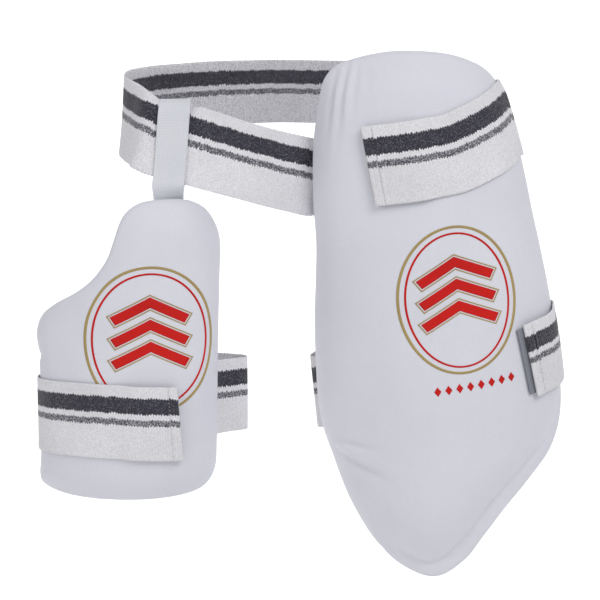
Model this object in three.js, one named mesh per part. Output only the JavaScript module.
// Cricket thigh guard: a large outer pad and a small inner pad on one knitted elastic waist strap.
// Millimetres and degrees. +X is the viewer's right, +Y points away from the viewer, +Z is up.
// The origin is the middle of the waist loop, where the wearer's waist passes through.
import * as THREE from "three";

// Elastic, webbing and hook tape
const ELASTIC_WIDTH = 63.5;
const ELASTIC_PLY = 1.6;
const HEM_LENGTH = 10;
const WEBBING_WIDTH = 25.4;
const WEBBING_PLY = 1.6;
const HOOK_LENGTH = 26;
const HOOK_PLY = 2;
const HOOK_INSET = 3;
const HOOK_OVERHANG = 1;
const LEG_HOOK_OVERHANG = 4;
const STRAP_TUCK = 26;
const REST_GAP = 0.75;

// Outer pad, measured flat before it is wrapped round the thigh
const OUTER_HEIGHT = 449;
const OUTER_HALF_WIDTH = 116.5;
const OUTER_CORE = 20;
const OUTER_EDGE = 8;
const OUTER_FLANGE = 13;
const OUTER_RAMP = 32;
const OUTER_WRAP_RADIUS = 115;
const OUTER_BOW_RADIUS = 1100;
const OUTER_TILT = 7.8;
const OUTER_OFFSET = 92.6;
const OUTER_FORWARD = 55;
const OUTER_DROP = 149;

// Inner pad, measured flat
const INNER_HEIGHT = 251;
const INNER_HALF_WIDTH = 84;
const INNER_CORE = 16;
const INNER_EDGE = 7;
const INNER_RAMP = 26;
const INNER_WRAP_RADIUS = 95;
const INNER_BOW_RADIUS = 900;

// Waist loop, and the place along it where the inner pad hangs
const WAIST_REACH = 161;
const WAIST_HALF_DEPTH = 55;
const WAIST_RISE = 17.5;
const HANGER_OFFSET = 114.5;
const HANGER_FORWARD = 50;
const HANGER_FALL = 12.6;
const HANGER_DROP = 15.1;
const HANGER_DRIFT = 5;
const HANGER_TUCK = 22;
const HANGER_ENTRY = 2;
const INNER_PAD_FORWARD = 4;

// Leg loops, measured from the pad's rims
const OUTER_LOOP_DEPTH = 56;
const INNER_LOOP_DEPTH = 40;
const INNER_LOOP_REACH = 29;

const COVER_WHITE = 0xd6d8df;
const ELASTIC_WHITE = 0xdddad6;
const WEBBING_WHITE = 0xe4e5ea;
const HOOK_WHITE = 0xd8d8d8;
const HOOK_GREY = 0x8d909c;

// Heights are shares of the pad's height from its lowest point, and sides are shares of its half width.
const OUTER_OUTLINE = {
  top: { side: -0.1 },
  bottom: { side: -0.2 },
  rows: [
    { height: 0.987, left: -0.43, right: 0.24 },
    { height: 0.968, left: -0.53, right: 0.44 },
    { height: 0.943, left: -0.58, right: 0.59 },
    { height: 0.905, left: -0.63, right: 0.695 },
    { height: 0.86, left: -0.684, right: 0.745 },
    { height: 0.8, left: -0.73, right: 0.795 },
    { height: 0.74, left: -0.763, right: 0.832 },
    { height: 0.67, left: -0.785, right: 0.866 },
    { height: 0.6, left: -0.838, right: 0.91 },
    { height: 0.52, left: -0.907, right: 0.956 },
    { height: 0.44, left: -0.957, right: 0.99 },
    { height: 0.36, left: -0.99, right: 1.02 },
    { height: 0.3, left: -0.97, right: 1.003 },
    { height: 0.256, left: -0.914, right: 0.938 },
    { height: 0.212, left: -0.862, right: 0.8 },
    { height: 0.17, left: -0.804, right: 0.57 },
    { height: 0.125, left: -0.722, right: 0.352 },
    { height: 0.075, left: -0.605, right: 0.17 },
    { height: 0.03, left: -0.45, right: 0.016 },
  ],
};
const INNER_OUTLINE = {
  top: { side: 0.435 },
  bottom: { side: -0.1 },
  rows: [
    { height: 0.99, left: 0.14, right: 0.63 },
    { height: 0.958, left: 0.01, right: 0.8 },
    { height: 0.925, left: -0.045, right: 0.875 },
    { height: 0.873, left: -0.098, right: 0.94 },
    { height: 0.812, left: -0.165, right: 0.953 },
    { height: 0.745, left: -0.31, right: 0.942 },
    { height: 0.7, left: -0.48, right: 0.938 },
    { height: 0.655, left: -0.72, right: 0.932 },
    { height: 0.61, left: -0.895, right: 0.926 },
    { height: 0.555, left: -0.972, right: 0.92 },
    { height: 0.49, left: -0.955, right: 0.912 },
    { height: 0.42, left: -0.945, right: 0.906 },
    { height: 0.3, left: -0.955, right: 0.896 },
    { height: 0.17, left: -0.975, right: 0.884 },
    { height: 0.095, left: -1.005, right: 0.864 },
    { height: 0.055, left: -1.025, right: 0.81 },
    { height: 0.02, left: -0.99, right: 0.68 },
  ],
};

// Creases pressed into a cover: side and height as in the outline, length and breadth as shares of the
// half width, depth as a share of the core, and turn in degrees from level.
const OUTER_CREASES = [
  { side: -0.7, height: 0.268, length: 0.26, breadth: 0.05, depth: 0.09, turn: -22 },
  { side: -0.64, height: 0.218, length: 0.28, breadth: 0.07, depth: 0.12, turn: -30 },
  { side: -0.5, height: 0.87, length: 0.34, breadth: 0.045, depth: 0.05, turn: 64 },
  { side: -0.39, height: 0.885, length: 0.3, breadth: 0.05, depth: 0.05, turn: 68 },
];
const INNER_CREASES = [
  { side: -0.93, height: 0.475, length: 0.2, breadth: 0.07, depth: 0.1, turn: 4 },
  { side: 0.75, height: 0.945, length: 0.2, breadth: 0.07, depth: 0.05, turn: -30 },
];

// Where the middle of a strap crosses a pad's front, from left to right, and its slope there in degrees
const WAIST_ON_OUTER = [
  { side: -0.267, height: 0.809, turn: 3 },
  { side: -0.002, height: 0.809, turn: 2 },
  { side: 0.235, height: 0.811, turn: 9 },
  { side: 0.438, height: 0.827, turn: 17.5 },
  { side: 0.618, height: 0.844, turn: 16.5 },
  { side: 0.69, height: 0.85, turn: 13.5 },
];
const LEG_ON_OUTER = [
  { side: 0.553, height: 0.412, turn: 5.5 },
  { side: 0.768, height: 0.418, turn: 7 },
  { side: 0.904, height: 0.425, turn: 6 },
];
const LEG_ON_INNER = [
  { side: -0.86, height: 0.277, turn: 0 },
  { side: -0.69, height: 0.285, turn: -1 },
  { side: -0.39, height: 0.291, turn: -1 },
  { side: -0.05, height: 0.29, turn: -1 },
  { side: 0.433, height: 0.278, turn: 3 },
];

// Where a strap is sewn to a pad's back: the height of its middle at the rim, and its slope there
const WAIST_SEAM = { height: 0.784, turn: -16 };
const OUTER_LEG_SEAM = { height: 0.371, turn: 2 };
const INNER_LEG_SEAM = { height: 0.3155, turn: 0 };

// The waist strap from the outer pad's right rim round the back to the left fold. Over is a share of the
// way across, back of the half depth, rise of the rise, lean is the degrees that its top tips in, and curl
// is the share of its width that is folded in along the top, or out where it is negative.
const WAIST_BACK = [
  { over: 0.012, back: -0.02, rise: 0.28, lean: 22, curl: 0 },
  { over: 0.05, back: 0.36, rise: 0.5, lean: 26, curl: 0 },
  { over: 0.154, back: 0.74, rise: 0.84, lean: 28, curl: -0.02 },
  { over: 0.311, back: 0.96, rise: 0.92, lean: 28, curl: -0.02 },
  { over: 0.472, back: 1, rise: 0.96, lean: 28, curl: -0.015 },
  { over: 0.604, back: 1, rise: 0.99, lean: 28, curl: -0.01 },
  { over: 0.762, back: 0.93, rise: 0.91, lean: 25, curl: -0.04 },
  { over: 0.868, back: 0.79, rise: 0.8, lean: 21, curl: -0.06 },
  { over: 0.938, back: 0.6, rise: 0.67, lean: 15, curl: -0.06 },
  { over: 0.985, back: 0.34, rise: 0.46, lean: 8, curl: -0.04 },
  { over: 1, back: 0.06, rise: 0.26, lean: 5, curl: 0 },
];
// From the left fold to the hanger: over is a share of the way from the hanger to the fold, out and fall
// are shares of the hanger's own.
const WAIST_TO_HANGER = [
  { over: 0.955, out: 0.24, fall: -0.16, lean: 7, curl: 0.01 },
  { over: 0.81, out: 0.56, fall: 0.04, lean: 10, curl: 0.04 },
  { over: 0.64, out: 0.86, fall: 0.23, lean: 10, curl: 0.1 },
  { over: 0.48, out: 0.98, fall: 0.47, lean: 11, curl: 0.16 },
  { over: 0.3, out: 1, fall: 0.78, lean: 11, curl: 0.17 },
  { over: 0, out: 1, fall: 1, lean: 10, curl: 0.125 },
];
// From the hanger to the outer pad's left rim: over is a share of that way, and so is fall.
const WAIST_TO_PAD = [
  { over: 0.115, out: 1, fall: 0.115, lean: 10, curl: 0.03 },
  { over: 0.17, out: 0.985, fall: 0.18, lean: 10, curl: 0.01 },
  { over: 0.31, out: 0.91, fall: 0.33, lean: 12, curl: 0 },
  { over: 0.46, out: 0.79, fall: 0.49, lean: 14, curl: 0 },
  { over: 0.66, out: 0.62, fall: 0.7, lean: 12, curl: 0 },
  { over: 0.83, out: 0.46, fall: 0.86, lean: 8, curl: 0 },
  { over: 0.95, out: 0.363, fall: 0.97, lean: 4, curl: 0 },
];
// A leg loop from one rim of its pad round the back to the other. Over is a share of the way between the
// rims, and back a share of the loop's depth.
const OUTER_LEG_LOOP = [
  { over: 0.012, back: 0.18, lean: 0 },
  { over: 0.045, back: 0.42, lean: 0 },
  { over: 0.13, back: 0.73, lean: 0 },
  { over: 0.27, back: 0.93, lean: 0 },
  { over: 0.5, back: 1, lean: 0 },
  { over: 0.72, back: 0.93, lean: 0 },
  { over: 0.915, back: 0.7, lean: -2 },
  { over: 1.035, back: 0.42, lean: -4 },
  { over: 1.055, back: 0.2, lean: -5 },
];
// The inner loop first runs out to a fold past the pad. Out is a share of that reach, back of the depth.
const INNER_LEG_FOLD = [
  { out: 0.2, back: 0.2 },
  { out: 0.55, back: 0.36 },
  { out: 0.87, back: 0.46 },
  { out: 0.99, back: 0.53 },
  { out: 1, back: 0.62 },
  { out: 0.9, back: 0.71 },
  { out: 0.6, back: 0.79 },
];
const INNER_LEG_BACK = [
  { over: 0, back: 0.9 },
  { over: 0.2, back: 1 },
  { over: 0.42, back: 0.98 },
  { over: 0.66, back: 0.82 },
  { over: 0.88, back: 0.52 },
  { over: 1, back: 0.19 },
];

const OUTER_SIDES = 76;
const INNER_SIDES = 68;
const PLY_LINES = 6;
const STEP = 11;
const PAD_STEP = 8;
const HOOK_EASE = 14;
const RIM_SHOULDER = 3;
const RIM_EASE = 0.3;

const clamp01 = (x) => Math.min(1, Math.max(0, x));
const mix = (a, b, t) => a + (b - a) * t;
const radians = THREE.MathUtils.degToRad;
const vector = (x, y, z) => new THREE.Vector3(x, y, z);

// Closed surface from rings of points, closed at each end by a pole or a flat strip across the ring.
function shell(rings, poles) {
  const points = rings.flat().concat(poles ?? []);
  const around = rings[0].length;
  const last = (rings.length - 1) * around;
  const faces = [];
  for (let i = 0; i < rings.length - 1; i++) {
    for (let j = 0; j < around; j++) {
      const a = i * around + j;
      const b = i * around + ((j + 1) % around);
      faces.push(a, b, b + around, a, b + around, a + around);
    }
  }
  if (poles) {
    const [first, end] = [points.length - 2, points.length - 1];
    for (let j = 0; j < around; j++) {
      const k = (j + 1) % around;
      faces.push(first, k, j, end, last + j, last + k);
    }
  } else {
    for (let j = 0; j < around / 2 - 1; j++) {
      const [a, b, c, d] = [j, j + 1, around - 2 - j, around - 1 - j];
      faces.push(a, c, b, a, d, c);
      faces.push(last + a, last + b, last + c, last + a, last + c, last + d);
    }
  }
  const geometry = new THREE.BufferGeometry().setFromPoints(points);
  geometry.setIndex(isInsideOut(points, faces) ? faces.reverse() : faces);
  geometry.computeVertexNormals();
  return geometry;
}

function isInsideOut(points, faces) {
  let volume = 0;
  const normal = vector(0, 0, 0);
  for (let i = 0; i < faces.length; i += 3) {
    const [a, b, c] = [points[faces[i]], points[faces[i + 1]], points[faces[i + 2]]];
    volume += normal.crossVectors(b, c).dot(a);
  }
  return volume < 0;
}

function mesh(name, geometry, color, roughness) {
  const made = new THREE.Mesh(geometry, new THREE.MeshStandardMaterial({ color, roughness, metalness: 0 }));
  made.name = name;
  return made;
}

// A pad is a flat pattern: across and up in millimetres from its pivot, and out from its back face.
function makePad(spec) {
  const at = (side, height) => vector(side * spec.halfWidth, (height - spec.pivot) * spec.height, 0);
  const { top, bottom, rows } = spec.outline;
  const knots = [at(top.side, 1)];
  for (const row of rows) knots.push(at(row.right, row.height));
  knots.push(at(bottom.side, 0));
  for (const row of [...rows].reverse()) knots.push(at(row.left, row.height));
  const outline = new THREE.CatmullRomCurve3(knots, true, "centripetal").getSpacedPoints(spec.sides);
  outline.pop();
  const creases = spec.creases.map((crease) => ({
    ...crease,
    middle: at(crease.side, crease.height),
    length: crease.length * spec.halfWidth,
    breadth: crease.breadth * spec.halfWidth,
    depth: crease.depth * spec.core,
  }));
  return { ...spec, outline, creases, at, place: new THREE.Matrix4() };
}

// Distance in from the outline, negative outside it
function inset(pad, across, up) {
  let nearest = Infinity;
  let inside = false;
  const { outline } = pad;
  for (let i = 0, j = outline.length - 1; i < outline.length; j = i++) {
    const [a, b] = [outline[j], outline[i]];
    const [dx, dy] = [b.x - a.x, b.y - a.y];
    const t = clamp01(((across - a.x) * dx + (up - a.y) * dy) / (dx * dx + dy * dy));
    nearest = Math.min(nearest, Math.hypot(across - a.x - t * dx, up - a.y - t * dy));
    const spans = a.y > up !== b.y > up;
    if (spans && across < a.x + (dx * (up - a.y)) / dy) inside = !inside;
  }
  return inside ? nearest : -nearest;
}

// Outline's place on one side, 1 for the right and -1 for the left, at a height above the pivot
function rimAt(pad, up, sign) {
  const { outline } = pad;
  let furthest = -Infinity;
  for (let i = 0, j = outline.length - 1; i < outline.length; j = i++) {
    const [a, b] = [outline[j], outline[i]];
    if (a.y > up === b.y > up) continue;
    furthest = Math.max(furthest, sign * mix(a.x, b.x, (up - a.y) / (b.y - a.y)));
  }
  return sign * furthest;
}

// Height of the front face over the rim's own thickness. A thin flange runs round the lower right.
function domeAt(pad, across, up) {
  const lower = 1 - THREE.MathUtils.smoothstep(up / pad.height + pad.pivot, 0.2, 0.42);
  const right = THREE.MathUtils.smoothstep(across / pad.halfWidth, -0.6, -0.42);
  const rise = clamp01((inset(pad, across, up) - pad.flange * lower * right) / pad.ramp);
  return (pad.core - pad.edge) * Math.sin((rise * Math.PI) / 2);
}

function creaseAt(pad, across, up) {
  let depth = 0;
  for (const crease of pad.creases) {
    const [x, y] = [across - crease.middle.x, up - crease.middle.y];
    const turn = radians(crease.turn);
    const along = (x * Math.cos(turn) + y * Math.sin(turn)) / crease.length;
    const beside = (y * Math.cos(turn) - x * Math.sin(turn)) / crease.breadth;
    depth += crease.depth * Math.exp(-2 * along * along - beside * beside);
  }
  return depth;
}

// The flat pattern wrapped round the thigh, bowed from top to bottom, and set in its place
function padPoint(pad, across, up, out) {
  const angle = across / pad.wrapRadius;
  const radius = pad.wrapRadius + out;
  const depth = pad.wrapRadius - radius * Math.cos(angle) + (up * up) / (2 * pad.bowRadius);
  return vector(radius * Math.sin(angle), depth, up).applyMatrix4(pad.place);
}

function hang(pad, position) {
  pad.place.makeRotationY(-radians(pad.tilt)).setPosition(position);
}

// Distances in from the rim at which the two faces have a ring, before the rings that share the rest
const FRONT_RINGS = [0.5, 1.6, 3.2, 7, 11, 14, 17, 22, 29, 38];
const BACK_RINGS = [0.5, 1.6, 3.2];
const CORE_SHARES = [0.12, 0.27, 0.45, 0.65, 0.84];

function padSolid(pad) {
  const middle = pad.at(pad.hub.side, pad.hub.height);
  const half = pad.edge / 2;
  const roll = (d) => Math.sqrt(1 - (1 - clamp01(d / half)) ** 2);
  const ring = (near, share, front) =>
    pad.outline.map((rim) => {
      const arm = rim.distanceTo(middle);
      const p = rim.clone().lerp(middle, near / arm + share * (1 - near / arm));
      const round = half * roll(inset(pad, p.x, p.y));
      if (!front) return padPoint(pad, p.x, p.y, half - round);
      return padPoint(pad, p.x, p.y, half + round + domeAt(pad, p.x, p.y) - creaseAt(pad, p.x, p.y));
    });
  const deepest = FRONT_RINGS.at(-1);
  const rings = [...CORE_SHARES].reverse().map((share) => ring(deepest, share, true));
  for (const near of [...FRONT_RINGS].reverse()) rings.push(ring(near, 0, true));
  rings.push(pad.outline.map((rim) => padPoint(pad, rim.x, rim.y, half)));
  for (const near of BACK_RINGS) rings.push(ring(near, 0, false));
  for (const share of CORE_SHARES) rings.push(ring(BACK_RINGS.at(-1), share, false));
  const front = padPoint(pad, middle.x, middle.y, pad.core);
  const back = padPoint(pad, middle.x, middle.y, 0);
  return shell(rings, [front, back]);
}

// A station of a band is its middle, and one line of points from its lower edge to its upper edge.
const shares = Array.from({ length: PLY_LINES }, (_, i) => i / (PLY_LINES - 1) - 0.5);

function onPad(pad, across, up, turn, width, outAt) {
  const [c, s] = [Math.cos(radians(turn)), Math.sin(radians(turn))];
  const line = shares.map((share) => {
    const [x, y] = [across - share * width * s, up + share * width * c];
    return padPoint(pad, x, y, outAt(x, y));
  });
  return { line, middle: line[0].clone().lerp(line.at(-1), 0.5) };
}

const onFront = (pad, across, up, turn, width, lift) =>
  onPad(pad, across, up, turn, width, (x, y) => pad.edge + domeAt(pad, x, y) + lift);

const onBack = (pad, across, up, turn, width, lift) => onPad(pad, across, up, turn, width, () => -lift);

// Along a rim, at a distance outside it
function besideRim(pad, sign, up, width, outside, outAt) {
  const line = shares.map((along) => {
    const y = up + along * width;
    const x = rimAt(pad, y, sign) + sign * outside;
    return padPoint(pad, x, y, outAt(x, y));
  });
  return { line, middle: line[0].clone().lerp(line.at(-1), 0.5) };
}

// A station in the air gets its line once its neighbours are known. Lean tips its top edge into the
// loop, and curl is the share of the width that is folded over along the top, out where it is negative.
function inAir(station, before, after, width) {
  const along = after.clone().sub(before).normalize();
  const outward = vector(0, 0, 0).crossVectors(along, vector(0, 0, 1)).normalize();
  const { lean: tip = 0, curl = 0 } = station;
  const lean = radians(tip);
  const rise = vector(0, 0, 0).crossVectors(outward, along).multiplyScalar(Math.cos(lean));
  rise.addScaledVector(outward, -Math.sin(lean));
  return shares.map((share) => {
    const over = Math.max(0, share - 0.5 + Math.abs(curl)) * width;
    return station.middle
      .clone()
      .addScaledVector(rise, share * width - over)
      .addScaledVector(outward, -Math.sign(curl) * over);
  });
}

// Smooth band of one ply through its stations. A hem is the end that is folded back on itself.
function bandSolid(stations, width, ply, hemStart = 0, hemEnd = 0) {
  const middles = stations.map((station) => station.middle);
  const lines = stations.map(
    (station, i) => station.line ?? inAir(station, middles[i - 1], middles[i + 1], width),
  );
  const curves = shares.map(
    (_, i) => new THREE.CatmullRomCurve3(lines.map((line) => line[i]), false, "centripetal"),
  );
  const grid = [];
  for (let i = 0; i < stations.length - 1; i++) {
    const steps = Math.max(1, Math.round(middles[i].distanceTo(middles[i + 1]) / STEP));
    for (let k = 0; k < steps; k++)
      grid.push(curves.map((curve) => curve.getPoint((i + k / steps) / (stations.length - 1))));
  }
  grid.push(lines.at(-1));
  const travelled = [0];
  for (let i = 1; i < grid.length; i++)
    travelled.push(travelled[i - 1] + grid[i][2].distanceTo(grid[i - 1][2]));
  const rings = grid.map((line, i) => {
    const [back, on] = [grid[Math.max(0, i - 1)], grid[Math.min(grid.length - 1, i + 1)]];
    const hemmed = travelled[i] < hemStart || travelled.at(-1) - travelled[i] < hemEnd;
    const normals = line.map((_, j) => {
      const along = on[j].clone().sub(back[j]);
      const across = line[Math.min(PLY_LINES - 1, j + 1)].clone().sub(line[Math.max(0, j - 1)]);
      return along.cross(across).normalize();
    });
    const outer = line.map((p, j) => p.clone().addScaledVector(normals[j], ply * (hemmed ? 1.4 : 0.5)));
    const inner = line.map((p, j) => p.clone().addScaledVector(normals[j], -ply * 0.5));
    return [...outer, ...inner.reverse()];
  });
  return shell(rings);
}

// Height and slope of a strap where it crosses a side of its pad
function crossing(rows, side) {
  const beyond = rows.findIndex((row) => row.side >= side);
  const i = beyond < 0 ? rows.length - 1 : Math.max(1, beyond);
  const t = clamp01((side - rows[i - 1].side) / (rows[i].side - rows[i - 1].side));
  return {
    height: mix(rows[i - 1].height, rows[i].height, t),
    turn: mix(rows[i - 1].turn, rows[i].turn, t),
  };
}

const lying = (ply) => REST_GAP + ply / 2;

// Stations on a pad's front between two distances from a strap's free end. Way is 1 where the strap runs
// to the right of that end and -1 where it runs to the left, and the stations always run to the right.
function alongFront(pad, rows, way, from, to, width, liftAt) {
  const end = way > 0 ? rows[0].side : rows.at(-1).side;
  const places = [from, to];
  for (let place = 0; place < to; place += PAD_STEP) if (place > from) places.push(place);
  const stations = places.sort((a, b) => a - b).map((distance) => {
    const side = end + (way * distance) / pad.halfWidth;
    const { height, turn } = crossing(rows, side);
    const at = pad.at(side, height);
    return onFront(pad, at.x, at.y, turn, width, liftAt(distance));
  });
  return way > 0 ? stations : stations.reverse();
}

// Strap on a pad's front, raised by the hook patch under its free end
function strapOnFront(pad, rows, way) {
  const clear = HOOK_LENGTH + PAD_STEP / 2;
  const raised = (distance) =>
    (HOOK_PLY + REST_GAP) * (1 - THREE.MathUtils.smoothstep(distance, clear, clear + HOOK_EASE));
  const whole = (rows.at(-1).side - rows[0].side) * pad.halfWidth;
  const liftAt = (distance) => lying(ELASTIC_PLY) + raised(distance);
  return alongFront(pad, rows, way, 0, whole, ELASTIC_WIDTH, liftAt);
}

function hookPatch(pad, rows, way, overhang) {
  const width = ELASTIC_WIDTH - 2 * HOOK_INSET;
  const stations = alongFront(pad, rows, way, -overhang, HOOK_LENGTH, width, () => lying(HOOK_PLY));
  return bandSolid(stations, width, HOOK_PLY);
}

// Strap on a pad's back, from just inside the rim to its sewn end
function strapOnBack(pad, seam, sign) {
  const rim = pad.at(0, seam.height).y;
  const slope = Math.tan(radians(seam.turn));
  return [1, 0.5 * STRAP_TUCK, STRAP_TUCK].map((place) => {
    const across = rimAt(pad, rim, sign) - sign * place;
    const up = rim - sign * place * slope;
    return onBack(pad, across, up, seam.turn, ELASTIC_WIDTH, lying(ELASTIC_PLY));
  });
}

// Strap round a rim, from the front to the back
function strapRoundRim(pad, height, sign) {
  const up = pad.at(0, height).y;
  const touching = lying(ELASTIC_PLY) + RIM_EASE;
  const onShoulder = (x, y) => pad.edge + domeAt(pad, x, y) + touching;
  return [
    besideRim(pad, sign, up, ELASTIC_WIDTH, -RIM_SHOULDER, onShoulder),
    besideRim(pad, sign, up, ELASTIC_WIDTH, touching, () => 0.85 * pad.edge),
    besideRim(pad, sign, up, ELASTIC_WIDTH, touching, () => 0.1 * pad.edge),
  ];
}

const outer = makePad({
  height: OUTER_HEIGHT,
  halfWidth: OUTER_HALF_WIDTH,
  pivot: 0.5344,
  core: OUTER_CORE,
  edge: OUTER_EDGE,
  flange: OUTER_FLANGE,
  ramp: OUTER_RAMP,
  wrapRadius: OUTER_WRAP_RADIUS,
  bowRadius: OUTER_BOW_RADIUS,
  tilt: OUTER_TILT,
  outline: OUTER_OUTLINE,
  creases: OUTER_CREASES,
  hub: { side: -0.02, height: 0.5 },
  sides: OUTER_SIDES,
});
hang(outer, vector(OUTER_OFFSET, -OUTER_FORWARD, -OUTER_DROP));

const waistRim = strapRoundRim(outer, WAIST_ON_OUTER.at(-1).height, 1);
const waistSeam = strapOnBack(outer, WAIST_SEAM, -1);
const [rimStart, rimEnd] = [waistRim.at(-1).middle, waistSeam[0].middle];
const waistBack = WAIST_BACK.map(({ over, back, rise, ...rest }) => ({
  middle: vector(mix(rimStart.x, -WAIST_REACH, over), back * WAIST_HALF_DEPTH, rise * WAIST_RISE),
  ...rest,
}));
const waistToHanger = WAIST_TO_HANGER.map(({ over, out, fall, ...rest }) => ({
  middle: vector(mix(-HANGER_OFFSET, -WAIST_REACH, over), -out * HANGER_FORWARD, -fall * HANGER_FALL),
  ...rest,
}));
const tab = waistToHanger.at(-1);
const waistToPad = WAIST_TO_PAD.map(({ over, out, fall, ...rest }) => ({
  middle: vector(mix(tab.middle.x, rimEnd.x, over), -out * HANGER_FORWARD, mix(tab.middle.z, rimEnd.z, fall)),
  ...rest,
}));
const waistStations = [
  ...strapOnFront(outer, WAIST_ON_OUTER, 1),
  ...waistRim,
  ...waistBack,
  ...waistToHanger,
  ...waistToPad,
  ...waistSeam,
];

// A leg loop's middle line between two rims
const between = (start, end, over, back, depth) =>
  vector(mix(start.x, end.x, over), mix(start.y, end.y, over) + back * depth, mix(start.z, end.z, over));

const outerLegRim = strapRoundRim(outer, LEG_ON_OUTER.at(-1).height, 1);
const outerLegSeam = strapOnBack(outer, OUTER_LEG_SEAM, -1);
const outerLegStations = [
  ...strapOnFront(outer, LEG_ON_OUTER, 1),
  ...outerLegRim,
  ...OUTER_LEG_LOOP.map(({ over, back, lean }) => ({
    middle: between(outerLegRim.at(-1).middle, outerLegSeam[0].middle, over, back, OUTER_LOOP_DEPTH),
    lean,
  })),
  ...outerLegSeam,
];

// The inner pad hangs under the tab, with its top rim in front of the webbing.
const inner = makePad({
  height: INNER_HEIGHT,
  halfWidth: INNER_HALF_WIDTH,
  pivot: 0.523,
  core: INNER_CORE,
  edge: INNER_EDGE,
  flange: 0,
  ramp: INNER_RAMP,
  wrapRadius: INNER_WRAP_RADIUS,
  bowRadius: INNER_BOW_RADIUS,
  tilt: 0,
  outline: INNER_OUTLINE,
  creases: INNER_CREASES,
  hub: { side: 0.1, height: 0.4 },
  sides: INNER_SIDES,
});
const innerTop = inner.at(INNER_OUTLINE.top.side, 1);
const tabRise = (ELASTIC_WIDTH / 2) * Math.cos(radians(tab.lean));
const underTab = tab.middle.clone().add(vector(-HANGER_DRIFT, -INNER_PAD_FORWARD, -tabRise - HANGER_DROP));
hang(inner, underTab.sub(padPoint(inner, innerTop.x, innerTop.y, 0)));

const innerLegSeam = strapOnBack(inner, INNER_LEG_SEAM, 1);
const innerLegRim = strapRoundRim(inner, LEG_ON_INNER[0].height, -1).reverse();
const [innerStart, innerEnd] = [innerLegSeam[0].middle, innerLegRim[0].middle];
const innerLegStations = [
  ...innerLegSeam.reverse(),
  ...INNER_LEG_FOLD.map(({ out, back }) => ({
    middle: innerStart.clone().add(vector(out * INNER_LOOP_REACH, back * INNER_LOOP_DEPTH, 0)),
  })),
  ...INNER_LEG_BACK.map(({ over, back }) => ({
    middle: between(innerStart, innerEnd, over, back, INNER_LOOP_DEPTH),
  })),
  ...innerLegRim,
  ...strapOnFront(inner, LEG_ON_INNER, -1),
];

// Webbing folded over the waist strap's top edge, with both legs sewn behind the inner pad's top rim.
// Rise is a share of the strap's half width above its middle, and out is in layers from its middle.
const HANGER_LOW = -1.14;
const HANGER_ROUTE = [
  { rise: HANGER_LOW, out: -1 },
  { rise: -0.9, out: -1 },
  { rise: -0.2, out: -1 },
  { rise: 0.2, out: -1 },
  { rise: 0.4, out: -1.8 },
  { rise: 0.55, out: -4.6 },
  { rise: 0.7, out: -5.9 },
  { rise: 0.86, out: -5.9 },
  { rise: 0.96, out: -3.8 },
  { rise: 0.995, out: -1.5 },
  { rise: 0.92, out: 0.85 },
  { rise: 0.73, out: 1.7 },
  { rise: 0.5, out: 1.55 },
  { rise: 0.1, out: 1.15 },
  { rise: -0.4, out: 1 },
  { rise: -0.9, out: 1 },
  { rise: HANGER_LOW, out: 1 },
];

// Place on the waist strap's middle line at a distance from the hanger, moved to the hanger's height
function besideHanger(distance) {
  const run = [...waistToHanger, ...waistToPad].map((station) => station.middle);
  const curve = new THREE.CatmullRomCurve3(run, false, "centripetal");
  let [low, high] = [0, 1];
  for (let i = 0; i < 30; i++) {
    const half = (low + high) / 2;
    if (curve.getPoint(half).x < tab.middle.x + distance) low = half;
    else high = half;
  }
  const outward = curve.getTangent(low).cross(vector(0, 0, 1)).normalize();
  const lean = radians(tab.lean);
  const rise = vector(0, 0, Math.cos(lean)).addScaledVector(outward, -Math.sin(lean));
  const middle = curve.getPoint(low);
  middle.addScaledVector(rise, (tab.middle.z - middle.z) / rise.z);
  return { middle, rise, outward };
}

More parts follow.
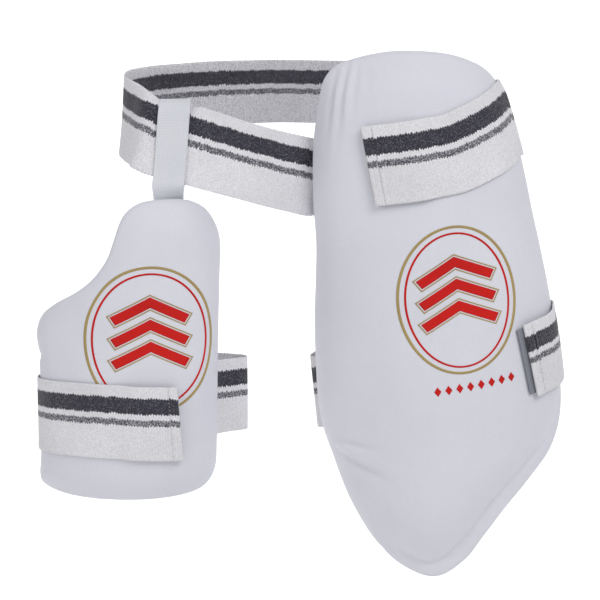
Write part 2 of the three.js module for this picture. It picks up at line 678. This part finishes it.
function hangerStations() {
  const layer = ELASTIC_PLY / 2 + lying(WEBBING_PLY);
  const route = HANGER_ROUTE.map((row) => {
    const drift = (row.rise - 1) * (HANGER_DRIFT / 2);
    const line = shares.map((share) => {
      const { middle, rise, outward } = besideHanger(share * WEBBING_WIDTH + drift);
      return middle
        .addScaledVector(rise, (row.rise * ELASTIC_WIDTH) / 2)
        .addScaledVector(outward, row.out * layer);
    });
    return { line, middle: line[0].clone().lerp(line.at(-1), 0.5) };
  });
  const front = lying(WEBBING_PLY);
  const back = front + WEBBING_PLY + REST_GAP;
  const behindPad = (depth, lift) =>
    onBack(inner, innerTop.x, innerTop.y - depth, -90, WEBBING_WIDTH, lift);
  const depths = [HANGER_ENTRY, HANGER_TUCK / 2, HANGER_TUCK];
  return [
    ...depths.map((depth) => behindPad(depth, back)).reverse(),
    ...route,
    ...depths.map((depth) => behindPad(depth, front)),
  ];
}

const strap = (stations, hemStart, hemEnd) =>
  bandSolid(stations, ELASTIC_WIDTH, ELASTIC_PLY, hemStart, hemEnd);

const group = new THREE.Group();
group.add(
  mesh("outer_pad", padSolid(outer), COVER_WHITE, 0.5),
  mesh("inner_pad", padSolid(inner), COVER_WHITE, 0.5),
  mesh("waist_strap", strap(waistStations, HEM_LENGTH, 0), ELASTIC_WHITE, 0.9),
  mesh("outer_leg_strap", strap(outerLegStations, HEM_LENGTH, 0), ELASTIC_WHITE, 0.9),
  mesh("inner_leg_strap", strap(innerLegStations, 0, HEM_LENGTH), ELASTIC_WHITE, 0.9),
  mesh("hanger_loop", bandSolid(hangerStations(), WEBBING_WIDTH, WEBBING_PLY), WEBBING_WHITE, 0.7),
  mesh("waist_hook_patch", hookPatch(outer, WAIST_ON_OUTER, 1, HOOK_OVERHANG), HOOK_WHITE, 0.8),
  mesh("outer_leg_hook_patch", hookPatch(outer, LEG_ON_OUTER, 1, LEG_HOOK_OVERHANG), HOOK_GREY, 0.8),
  mesh("inner_leg_hook_patch", hookPatch(inner, LEG_ON_INNER, -1, HOOK_OVERHANG), HOOK_WHITE, 0.8),
);
export default group;
